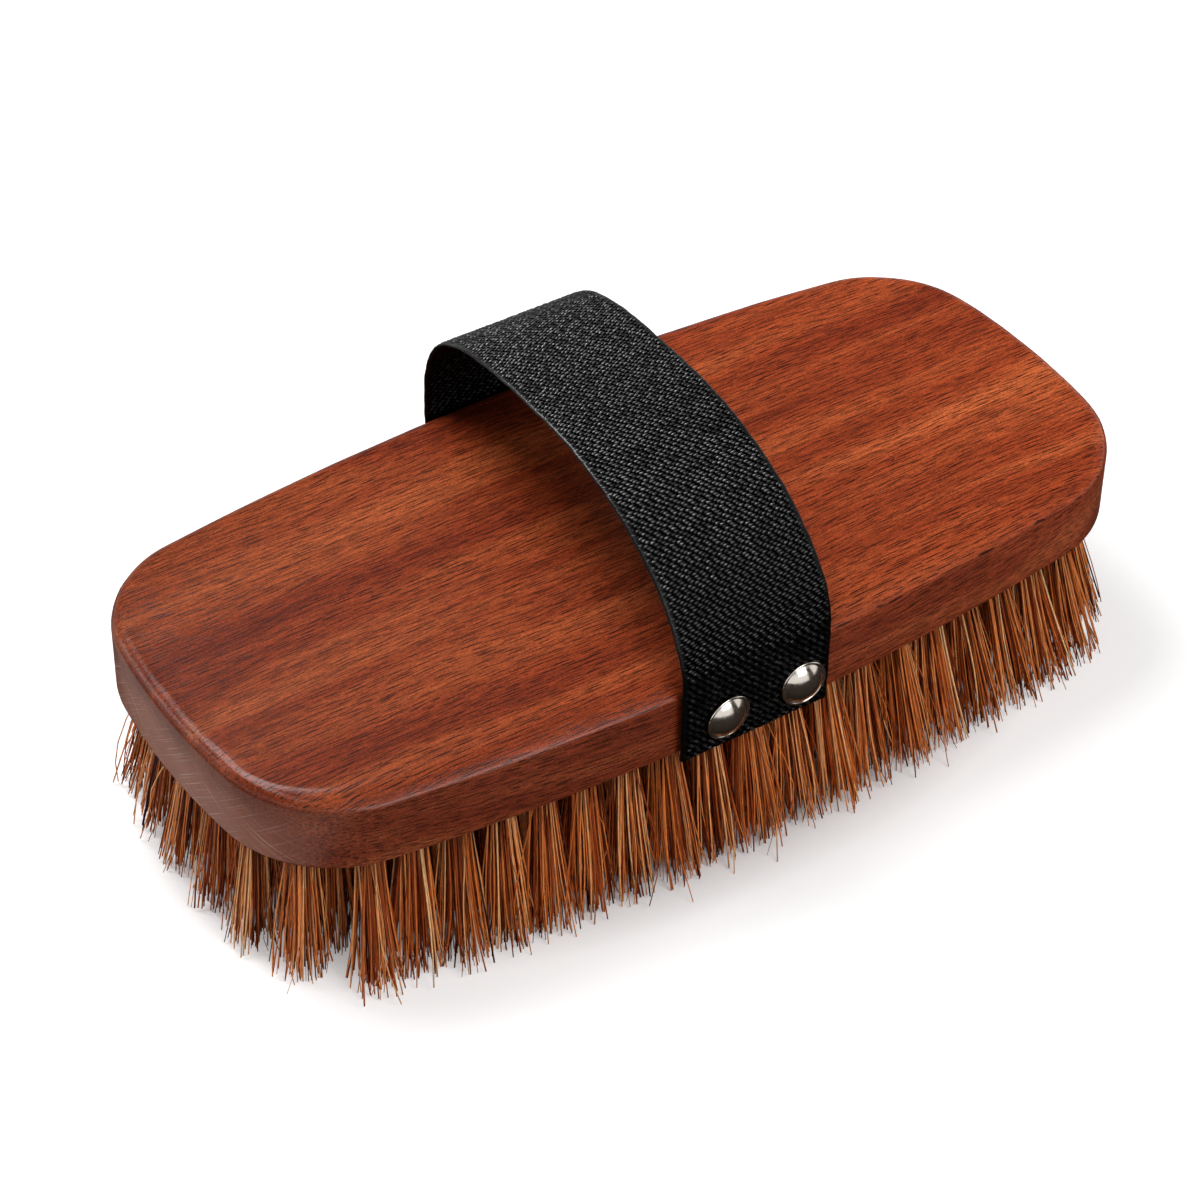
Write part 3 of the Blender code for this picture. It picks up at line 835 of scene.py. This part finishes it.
@dataclass
class Strap:
    """The elastic hand strap: a woven band that arches from one long side to the other.

    Its middle line is two quarters of a superellipse above the block, one for each side. The
    band wanders a little off the middle of the block, and its crest rolls to the right. The
    weave is a twill, in which each of three rows starts further to the side than the last.
    """

    block_width: float = 95 * MM
    block_bottom: float = 31 * MM
    block_top: float = 48 * MM
    gap: float = 0.3 * MM
    width: float = 34 * MM
    thickness: float = 1.3 * MM
    end_drop: float = 0.6 * MM
    arch_start: float = 0.8 * MM
    arch_rise: float = 29.6 * MM
    arch_steps: int = 400
    crest_shift: float = 0.3 * MM
    fullness: tuple[float, float] = (1.84, 2.9)
    drift: tuple[float, ...] = (-0.8 * MM, 1.57 * MM, -0.72 * MM, -1.29 * MM)
    waist: float = 0.5 * MM
    roll: float = 0.03
    row_pitch: float = 0.55 * MM
    column_pitch: float = 1.63 * MM
    twill: Place = (0.0, 0.26, 0.52)
    float_size: tuple[float, float] = (0.46, 0.36)
    float_heights: tuple[float, float] = (0.4, 1.0)
    row_steps: int = 4
    column_steps: tuple[float, float] = (0.2 * MM, 0.27 * MM)
    relief: float = 0.3 * MM
    jitter: float = 0.16
    row_waver: Place = (2.3, 1.7, 0.37)
    column_waver: Place = (1.1, 1.3, 0.9)
    selvedge: float = 1.3 * MM
    selvedge_relief: float = 0.2
    selvedge_shade: float = 0.35
    edge_round: float = 0.45 * MM
    edge_least: float = 0.02
    edge_wave: float = 0.1 * MM
    edge_waves: int = 9
    nail_spacing: float = 17.5 * MM
    nail_shift: float = -0.3 * MM
    nail_height: float = 6.1 * MM
    nail_reach: float = 6.5 * MM
    nail_press: float = 0.2 * MM
    seed: int = 23

    def line(self) -> np.ndarray:
        """Return the middle line as (Y, Z), front to back, in even steps."""
        reach = self.block_width / 2 + self.gap + self.thickness / 2
        start = self.block_top + self.arch_start
        bottom = self.block_bottom - self.end_drop
        turns = np.linspace(0, math.pi / 2, self.arch_steps)
        cosine, sine = np.clip(np.cos(turns), 0, 1), np.sin(turns)
        halves = []
        for side, fullness in zip((-1, 1), self.fullness):
            half = reach - side * self.crest_shift
            across = self.crest_shift + side * half * cosine ** (2 / fullness)
            halves.append(np.column_stack([across, start + self.arch_rise * sine ** (2 / fullness)]))
        route = np.concatenate([[(-reach, bottom)], halves[0], halves[1][-2::-1], [(reach, bottom)]])
        lengths = self.lengths(route)
        count = round(lengths[-1] / self.row_pitch * self.row_steps) + 1
        places = np.linspace(0, lengths[-1], count)
        return np.column_stack([np.interp(places, lengths, route[:, axis]) for axis in (0, 1)])

    def lengths(self, line: np.ndarray) -> np.ndarray:
        """Return how far along a line each of its points is."""
        return np.concatenate([[0], np.cumsum(np.linalg.norm(np.diff(line, axis=0), axis=1))])

    def waver(self, pitches: Place, over: np.ndarray, own: np.ndarray) -> np.ndarray:
        """Shift the rows or columns a little, so that the weave is not quite even.

        Args:
            pitches: The pitch of the wave, the depth of its own shift and the pitch of that.
            over: The count of the threads that are crossed.
            own: The count of the threads that shift.

        Returns:
            How far each place shifts, in threads.
        """
        return self.jitter * np.sin(pitches[0] * over + pitches[1] * np.sin(pitches[2] * own))

    def weave(self, along: np.ndarray, across: np.ndarray, rng: np.random.Generator) -> np.ndarray:
        """Raise the floats of yarn in a three-row twill, each a little higher or lower.

        Args:
            along: Places along the strap.
            across: Places across it.
            rng: The source of the floats' heights.

        Returns:
            The height of the relief at each place, from zero to one.
        """
        row = along / self.row_pitch + 1
        column = (across + self.width) / self.column_pitch
        row = row + self.waver(self.row_waver, column, row)
        near_row = np.rint(row).astype(int)
        column = column + np.array(self.twill)[near_row % len(self.twill)]
        column += self.waver(self.column_waver, near_row, column) / 2
        near_column = np.rint(column).astype(int)
        away = np.hypot(
            (row - near_row) / self.float_size[0], (column - near_column) / self.float_size[1]
        )
        heights = rng.uniform(*self.float_heights, (near_row.max() + 1, near_column.max() + 1))
        return np.clip(1 - away**2, 0, 1) * heights[near_row, near_column]

    def build(self, finish: Material) -> Piece:
        """Make the strap.

        Args:
            finish: The webbing.

        Returns:
            The strap in place.
        """
        rng = np.random.default_rng(self.seed)
        line = self.line()
        along = self.lengths(line)
        tangent = unit_rows(np.gradient(line, axis=0))
        normal = np.column_stack([-tangent[:, 1], tangent[:, 0]])
        share = line[:, 0] / (self.block_width / 2)
        middle = 1 - share**2
        drift = np.stack([np.ones_like(share), share, middle, share * middle], 1) @ self.drift
        ripple = self.edge_wave * smooth_noise(along / along[-1] * self.edge_waves, rng)
        widening = 1 + (2 * ripple - self.waist * (middle - 0.5)) / self.width
        sides, crowns = [], []
        for face, column_step in zip((1, -1), self.column_steps):
            across = np.linspace(-1, 1, round(self.width / column_step) + 1) * self.width / 2
            from_edge = self.width / 2 - np.abs(across)
            bared = np.clip(from_edge / self.selvedge, self.selvedge_relief, 1)
            rounding = np.clip(from_edge / self.edge_round, 0, 1)
            edge = np.sqrt(np.clip(1 - (1 - rounding) ** 2, self.edge_least, 1))
            grid_along, grid_across = np.meshgrid(along, across, indexing="ij")
            crown = self.weave(grid_along, grid_across, rng)
            lift = (self.thickness / 2 - self.relief) * edge + self.relief * crown * bared * rounding
            lift = face * lift - self.pressing(line, grid_across)
            x = drift[:, None] + grid_across * widening[:, None]
            y = line[:, 0:1] + normal[:, 0:1] * lift
            z = line[:, 1:2] + normal[:, 1:2] * lift - self.roll * x * middle[:, None]
            sides.append(np.stack([x, y, z], -1))
            crowns.append(np.maximum(crown * bared, self.selvedge_shade * (1 - bared)))
        rings = np.concatenate([sides[0], sides[1][:, ::-1]], axis=1)
        count = rings.shape[1]
        faces = bridge(len(line), count, closed=True).tolist()
        faces.append(list(range(count))[::-1])
        faces.append([(len(line) - 1) * count + place for place in range(count)])
        strap = mesh_object("hand_strap", rings.reshape(-1, 3), faces, finish, Shading.SMOOTH)
        # The crown attribute carries the strap's painted shade in the gaps and painted highlight on the
        # crowns.
        shade = np.concatenate([crowns[0], crowns[1][:, ::-1]], axis=1).astype(np.float32)
        strap.data.attributes.new("crown", "FLOAT", "POINT").data.foreach_set("value", shade.ravel())
        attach(strap, "root")
        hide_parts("strap")
        return strap

    def nail_places(self) -> tuple[float, float]:
        """Return the X of the left nail and of the right nail."""
        return self.nail_shift - self.nail_spacing / 2, self.nail_shift + self.nail_spacing / 2

    def pressing(self, line: np.ndarray, across: np.ndarray) -> np.ndarray:
        """Sink the webbing under each nail head.

        Args:
            line: The middle line.
            across: Each place across the strap.

        Returns:
            How far each place is pressed in.
        """
        down = line[:, 1:2] - (self.block_bottom + self.nail_height)
        low = line[:, 1:2] < self.block_top
        depth = np.zeros_like(across)
        for x in self.nail_places():
            away = np.hypot(across - x, down)
            depth += np.exp(-((away / self.nail_reach) ** 4)) * low
        return depth * self.nail_press


@dataclass
class DomedNail:
    """An upholstery nail with a low domed head and a thin rolled lip."""

    head_radius: float = 5.0 * MM
    head_height: float = 2.4 * MM
    lip: float = 0.6 * MM
    lip_overlap: float = 0.98
    lip_turn: tuple[float, float] = (165, -90)
    seat: float = 0.36 * MM
    shank_radius: float = 0.9 * MM
    shank_length: float = 13 * MM
    point_length: float = 2.5 * MM
    point_radius: float = 0.0225 * MM
    twist: float = 1.4
    sides: int = 96
    dome_steps: int = 24
    lip_steps: int = 20

    def profile(self) -> np.ndarray:
        """Return half the section as radius and height, from the crown to the point."""
        edge = self.head_radius - self.lip * self.lip_overlap
        rise = self.head_height - self.seat
        radius = (edge**2 + rise**2) / (2 * rise)
        turns = np.linspace(0, math.asin(edge / radius), self.dome_steps)
        dome = [(radius * math.sin(t), self.head_height - radius * (1 - math.cos(t))) for t in turns]
        roll = self.lip / 2
        lip = [
            (self.head_radius - roll + roll * math.cos(t), roll + roll * math.sin(t))
            for t in np.radians(np.linspace(*self.lip_turn, self.lip_steps))
        ]
        shank = [
            (self.shank_radius * 2, self.seat * 2),
            (self.shank_radius, self.seat * 2),
            (self.shank_radius, self.point_length - self.shank_length),
            (self.point_radius, -self.shank_length),
        ]
        return np.array(dome + lip + shank)

    def build(
        self, face: Face, hand: str, x: float, tilt: float, strap: Strap, finish: Material
    ) -> Piece:
        """Make one nail and drive it through the strap.

        Args:
            face: The side of the block that it is in.
            hand: Which of the two nails on that side it is, left or right.
            x: Its place along the block.
            tilt: How far it leans, in degrees.
            strap: The strap that it holds.
            finish: The metal.

        Returns:
            The nail in place.
        """
        side = face.name.lower()
        profile = self.profile()
        turns = np.linspace(0, math.tau, self.sides, endpoint=False)
        circle = np.stack([np.cos(turns), np.sin(turns)], 1)
        rings = [np.column_stack([r * circle, np.full(self.sides, z)]) for r, z in profile[1:]]
        points = np.concatenate([[(0, 0, profile[0][1])], *rings])
        faces = (bridge(len(rings), self.sides, closed=True)[:, ::-1] + 1).tolist()
        faces += [(0, 1 + place, 1 + (place + 1) % self.sides) for place in range(self.sides)]
        faces.append([1 + (len(rings) - 1) * self.sides + place for place in range(self.sides)][::-1])
        seat = strap.block_width / 2 + strap.gap + strap.thickness - strap.nail_press
        nail = mesh_object(f"domed_nail_{side}_{hand}", points, faces, finish, Shading.CREASED)
        nail.data.transform(
            Matrix.Translation((x, face.value * seat, strap.block_bottom + strap.nail_height))
            @ Matrix.Rotation(-face.value * math.pi / 2 + math.radians(tilt), 4, "X")
            @ Matrix.Rotation(math.radians(tilt * self.twist), 4, "Y")
        )
        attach(nail, "root")
        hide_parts(f"nail_{side}_{hand}")
        return nail


@dataclass
class FibreRow:
    """One row of tufts, each a bundle of coir fibres that spreads towards its tips.

    A few fibres are strays, which bend and scatter more. Where two values are given for a
    fibre, the first is for a plain one and the second for a stray.
    """

    index: int
    centres: np.ndarray
    root_height: float = 34.5 * MM
    root_radius: float = 2.75 * MM
    tip_radius: float = 5.2 * MM
    tip_height: float = 0.15 * MM
    fibres: int = 112
    fibres_more_or_less: int = 10
    sides: int = 4
    spans: int = 6
    thickness: tuple[float, float] = (0.1 * MM, 0.23 * MM)
    taper: float = 0.8
    trim: float = 1.5 * MM
    trim_scatter: float = 0.5
    short_share: float = 0.1
    short_by: float = 4 * MM
    splay_along: tuple[float, float] = (0.04, 0.075)
    splay_across: float = 0.165
    lean_scatter: float = 0.4 * MM
    flare_scatter: float = 0.16
    flare_limit: float = 1.3
    flare_power: float = 1.2
    stray_share: float = 0.06
    bends: tuple[float, float] = (0.8 * MM, 3.2 * MM)
    tip_scatters: tuple[float, float] = (0.7 * MM, 2.6 * MM)
    widths: tuple[float, float] = (1.0, 0.75)
    shade_spread: tuple[float, float] = (1.2, 1.0)
    # Painted shade: a fibre at the middle of a tuft keeps this share of its shade, rising to all of it
    # at the rim.
    painted_inner_shade: float = 0.35
    shades: int = 64
    seed: int = 700

    def tuft(self, centre: np.ndarray, rng: np.random.Generator) -> tuple[np.ndarray, ...]:
        """Lay out the fibres of one tuft as lines of points.

        Args:
            centre: The middle of the tuft's hole.
            rng: The source of every random choice.

        Returns:
            The points of each fibre's line, the radius at each point, and the fibre's shade.
        """
        spread = self.fibres_more_or_less
        count = self.fibres + int(rng.integers(-spread, spread + 1))
        turn = rng.uniform(0, math.tau, count)
        reach = np.sqrt(rng.uniform(0, 1, count))
        direction = np.stack([np.cos(turn), np.sin(turn)], 1)
        root = centre + direction * (reach * self.root_radius)[:, None]
        stray = (rng.uniform(0, 1, count) < self.stray_share).astype(int)
        splay = (self.splay_along[int(centre[0] > 0)], self.splay_across)
        lean = centre * splay + rng.normal(0, self.lean_scatter, 2)
        flare = reach + rng.normal(0, self.flare_scatter, count)
        flare = direction * (np.clip(flare, 0, self.flare_limit) * self.tip_radius)[:, None]
        scatter = np.array(self.tip_scatters)[stray, None] * rng.normal(0, 1, (count, 2))
        tip = centre + lean + flare + scatter
        end = np.abs(rng.normal(0, self.trim_scatter, count)) * self.trim
        short = rng.uniform(0, 1, count) < self.short_share
        end = np.where(short, end + rng.uniform(0, self.short_by, count), end)
        share = np.linspace(0, 1, self.spans + 1)[None, :, None]
        start = np.column_stack([root, np.full(count, self.root_height)])
        stop = np.column_stack([tip, end + self.tip_height])
        line = start[:, None] * (1 - share) + stop[:, None] * share
        bends = np.array(self.bends)[stray, None, None]
        line[:, :, :2] += bends * rng.normal(0, 1, (count, 1, 2)) * np.sin(math.pi * share) * share
        line[:, :, :2] += flare[:, None] * (share**self.flare_power - share)
        thickness = rng.uniform(*self.thickness, count) * np.array(self.widths)[stray]
        shade = rng.beta(*self.shade_spread, count)
        # Painted shade: fibres inside the tuft are painted darker.
        shade *= self.painted_inner_shade + (1 - self.painted_inner_shade) * reach
        return line, thickness[:, None] * np.linspace(1.0, self.taper, self.spans + 1), shade

    def build(self, finish: Material) -> Piece:
        """Make the row as one mesh of thin tubes with a shade chart.

        Args:
            finish: The coir.

        Returns:
            The row in place.
        """
        rng = np.random.default_rng(self.seed + self.index)
        laid = [self.tuft(centre, rng) for centre in self.centres]
        lines, radii, shades = (np.concatenate(values) for values in zip(*laid))
        count, places = lines.shape[:2]
        along = unit_rows(lines[:, -1] - lines[:, 0])
        side = unit_rows(np.cross(along, (0.0, 1.0, 0.0)))
        other = np.cross(along, side)
        corners = np.linspace(0, math.tau, self.sides, endpoint=False)
        turns = rng.uniform(0, math.tau, (count, 1)) + corners
        ring = np.cos(turns)[..., None] * side[:, None] + np.sin(turns)[..., None] * other[:, None]
        points = lines[:, :, None] + ring[:, None] * radii[:, :, None, None]
        starts = np.arange(count)[:, None, None] * (places * self.sides)
        quads = bridge(places, self.sides, closed=True)
        caps = (places - 1) * self.sides + np.arange(self.sides)
        faces = (starts + quads[None]).reshape(-1, 4).tolist()
        faces += (starts[:, 0] + caps[None]).tolist()
        name = f"tuft_row_fibres_{self.index + 1:02d}"
        row = mesh_object(name, points.reshape(-1, 3), faces, finish, Shading.SMOOTH)
        self.add_chart(row.data, shades, places)
        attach(row, "root")
        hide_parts(f"tuft_row_{self.index + 1:02d}")
        return row

    def add_chart(self, mesh: bpy.types.Mesh, shades: np.ndarray, places: int) -> None:
        """Give each fibre a shade across the chart and its length up the chart.

        Each fibre keeps to a narrow column of the chart, a little inside its edges.

        Args:
            mesh: The row's mesh.
            shades: The shade of each fibre, from zero to one.
            places: How many points each has.
        """
        shade = np.floor(np.clip(shades, 0, 0.999) * self.shades)
        quads = bridge(places, self.sides, closed=True)
        level = quads // self.sides
        corner = np.tile(np.array([0.15, 0.85, 0.85, 0.15]), (len(quads), 1))
        side = (quads[:, :1] % self.sides + corner) / self.sides
        across = (shade[:, None, None] + 0.1 + 0.8 * side[None]) / self.shades
        upward = np.broadcast_to(level / (places - 1), across.shape)
        walls = np.stack([across, 0.02 + 0.96 * upward], -1).reshape(-1, 2)
        ends = np.stack([(shade + 0.5) / self.shades, np.full(len(shade), 0.98)], -1)
        values = np.concatenate([walls, np.repeat(ends, self.sides, axis=0)])
        chart = mesh.uv_layers.new(name="OFBake")
        chart.data.foreach_set("uv", values.astype(np.float32).ravel()[: 2 * len(mesh.loops)])


@dataclass(frozen=True)
class Lamp:
    """One square softbox that faces the brush."""

    name: str
    place: Place
    size: float
    power: float


@dataclass(frozen=True)
class Flag:
    """One card that only reflections show, a painted dark or grey reflection."""

    name: str
    shade: str
    corners: tuple[Place, ...]


@dataclass
class Studio:
    """The floor, the lamps, the surroundings and the camera.

    The floor glows to a plain white outside an oval round the brush, and its shadow falls
    inside the oval.
    """

    azimuth: float = -34.31
    elevation: float = 41.36
    roll: float = 1.05
    distance: float = 726.9 * MM
    target: Place = (-7.35 * MM, -2.83 * MM, 31.46 * MM)
    lens: float = 110.15
    sensor: float = 36.0
    floor: str = "#f4f4f4"
    white: str = "#ffffff"
    floor_size: float = 6.0
    floor_glow: float = 0.45
    shadow_oval: tuple[float, float] = (112 * MM, 62 * MM)
    shadow_core: float = 0.72
    room: float = 0.16
    lamps: tuple[Lamp, ...] = (
        Lamp("overhead_softbox", (-0.14, 0.36, 0.8), 0.42, 4.7),
        Lamp("front_softbox", (0.08, -0.66, 0.6), 0.5, 3.3),
        Lamp("back_softbox", (-0.62, 0.62, 0.4), 0.35, 1.3),
    )
    flags: tuple[Flag, ...] = (
        Flag(
            "painted_dark_reflection_floor",
            "#3a3530",
            ((-1.2, -1.2, 0.0004), (1.2, -1.2, 0.0004), (1.2, 0.4, 0.0004), (-1.2, 0.4, 0.0004)),
        ),
        Flag(
            "painted_grey_reflection_floor",
            "#cfc7c0",
            ((-0.17, -0.12, 8e-4), (-0.108, -0.12, 8e-4), (-0.108, 0.2, 8e-4), (-0.17, 0.2, 8e-4)),
        ),
        Flag(
            "black_card_upright",
            "#4a443e",
            ((0.19, -0.44, 0.0), (0.34, -0.34, 0.0), (0.34, -0.34, 0.33), (0.19, -0.44, 0.33)),
        ),
    )

    def add_camera(self) -> Piece:
        """Return the camera, which stands where the photograph was taken from."""
        azimuth, elevation = math.radians(self.azimuth), math.radians(self.elevation)
        level_reach = math.cos(elevation)
        back = Vector(
            (math.sin(azimuth) * level_reach, -math.cos(azimuth) * level_reach, math.sin(elevation))
        )
        level = Vector((0, 0, 1)).cross(back).normalized()
        turn = math.radians(self.roll)
        right = level * math.cos(turn) + back.cross(level) * math.sin(turn)
        rotation = Matrix((right, back.cross(right), back)).transposed()
        data = bpy.data.cameras.new("photo_camera")
        data.lens = self.lens
        data.sensor_width = self.sensor
        data.sensor_height = self.sensor
        camera = bpy.data.objects.new("photo_camera", data)
        place = Vector(self.target) + back * self.distance
        camera.matrix_world = Matrix.Translation(place) @ rotation.to_4x4()
        bpy.context.scene.collection.objects.link(camera)
        bpy.context.scene.camera = camera
        return camera

    def add_lamps(self) -> None:
        """Hang each softbox so that it faces the brush."""
        for lamp in self.lamps:
            data = bpy.data.lights.new(lamp.name, "AREA")
            data.shape = "SQUARE"
            data.size = lamp.size
            data.energy = lamp.power
            light = bpy.data.objects.new(lamp.name, data)
            light.location = lamp.place
            aim = Vector(lamp.place) - Vector(self.target)
            light.rotation_euler = aim.to_track_quat("Z", "Y").to_euler()
            bpy.context.scene.collection.objects.link(light)

    def add_flags(self) -> None:
        """Set out the cards, painted reflections that give the metal and the varnish their darker sides.
        """
        for flag in self.flags:
            material, tree = new_material(flag.name)
            matt = add_node(tree, "BsdfDiffuse", {"Color": linear(flag.shade)})
            add_node(tree, "OutputMaterial", {"Surface": matt})
            card = mesh_object(flag.name, np.array(flag.corners), [[0, 1, 2, 3]], material, Shading.FLAT)
            for kind in ("camera", "diffuse", "shadow", "transmission"):
                setattr(card, f"visible_{kind}", False)
            card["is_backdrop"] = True

    def seen_share(self, tree: Tree, strength: float | Source) -> Node:
        """Tell what sees the backdrop: the camera, and light that metal or glass sends back.

        Args:
            tree: The tree of the floor or the world.
            strength: The share for those rays.

        Returns:
            The node with the share, which is zero for every other ray.
        """
        rays = add_node(tree, "LightPath").outputs
        seen = rays["Is Camera Ray"]
        for kind in ("Is Glossy Ray", "Is Transmission Ray"):
            seen = add_node(tree, "Math", (seen, rays[kind]), operation="MAXIMUM")
        return add_node(tree, "Math", (seen, strength), operation="MULTIPLY")

    def add_floor(self) -> Piece:
        """Return the pale floor, which reads as white and keeps the shadow."""
        material, tree = new_material("matt_white_sweep")
        diffuse = add_node(tree, "BsdfDiffuse", {"Color": linear(self.floor)})
        place = add_node(tree, "NewGeometry").outputs["Position"]
        spans = (*(1 / reach for reach in self.shadow_oval), 0.0)
        spread = add_node(tree, "VectorMath", (place, spans), operation="MULTIPLY")
        away = add_node(tree, "VectorMath", (spread,), operation="LENGTH").outputs["Value"]
        lit = add_node(tree, "MapRange", (away, self.shadow_core, 1.0, 0.0, self.floor_glow))
        strength = self.seen_share(tree, lit)
        glow = add_node(tree, "Emission", {"Color": linear(self.white), "Strength": strength})
        mixed = add_node(tree, "AddShader", (diffuse, glow))
        add_node(tree, "OutputMaterial", {"Surface": mixed})
        half = self.floor_size / 2
        points = np.array([(-half, -half, 0), (half, -half, 0), (half, half, 0), (-half, half, 0)])
        floor = mesh_object("studio_floor", points, [[0, 1, 2, 3]], material, Shading.FLAT)
        floor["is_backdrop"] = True
        return floor

    def add_surroundings(self) -> None:
        """Set a white wall round the brush, a dark upper room and a dim, even light."""
        world = bpy.data.worlds.new("white_studio")
        bpy.context.scene.world = world
        world.use_nodes = True
        tree = world.node_tree
        tree.nodes.clear()
        outward = add_node(tree, "TexCoord").outputs["Generated"]
        axes = add_node(tree, "SeparateXYZ", (outward,)).outputs
        height = add_node(tree, "Math", (axes["Y"], 0.3, axes["Z"]), operation="MULTIPLY_ADD")
        near_wall = add_node(tree, "MapRange", (height, 0.22, 0.5, 1.0, 0.06))
        upper_room = add_node(tree, "MapRange", (axes["Y"], -0.3, 0.2, 0.2, 0.06))
        wall = add_node(tree, "Math", (near_wall, upper_room), operation="MAXIMUM")
        white = linear(self.white)
        room = add_node(tree, "Background", {"Color": white, "Strength": self.room})
        backdrop = add_node(tree, "Background", {"Color": white, "Strength": wall})
        mixed = add_node(tree, "MixShader", (self.seen_share(tree, 1.0), room, backdrop))
        add_node(tree, "OutputWorld", {"Surface": mixed})


def box_list() -> list[list[float]]:
    """Return the whole object's box as plain lists of numbers."""
    return [[float(value) for value in corner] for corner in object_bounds()]


def main(cad_box: list[list[float]]) -> None:
    """Build the studio and the brush.
    """
    bpy.context.scene.view_settings.view_transform = "Standard"
    studio = Studio()
    studio.add_camera()
    studio.add_lamps()
    studio.add_flags()
    studio.add_floor()
    studio.add_surroundings()
    outline = BlockOutline()
    layout = TuftLayout(outline)
    block = Block(outline, layout).build(StainedBeech().make())
    LOG.info("%s built", block.name)
    strap = Strap()
    band = strap.build(WovenElastic().make())
    LOG.info("%s built", band.name)
    nickel = NickelPlate().make()
    for face in Face:
        for hand, x, tilt in zip(("left", "right"), strap.nail_places(), (2.0, -1.5)):
            nail = DomedNail().build(face, hand, x, tilt, strap, nickel)
            LOG.info("%s built", nail.name)
    coir = Coir().make()
    for index in range(layout.rows):
        row = FibreRow(index, layout.row(index)).build(coir)
        LOG.info("%s built", row.name)


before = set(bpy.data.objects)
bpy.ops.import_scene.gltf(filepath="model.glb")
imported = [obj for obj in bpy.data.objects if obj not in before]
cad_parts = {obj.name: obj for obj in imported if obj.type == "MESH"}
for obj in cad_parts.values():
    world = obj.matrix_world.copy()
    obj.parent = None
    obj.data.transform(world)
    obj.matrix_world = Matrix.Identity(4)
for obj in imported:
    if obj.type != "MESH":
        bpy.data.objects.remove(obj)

if __name__ == "__main__":
    logging.basicConfig(level=logging.INFO)
    main(box_list())
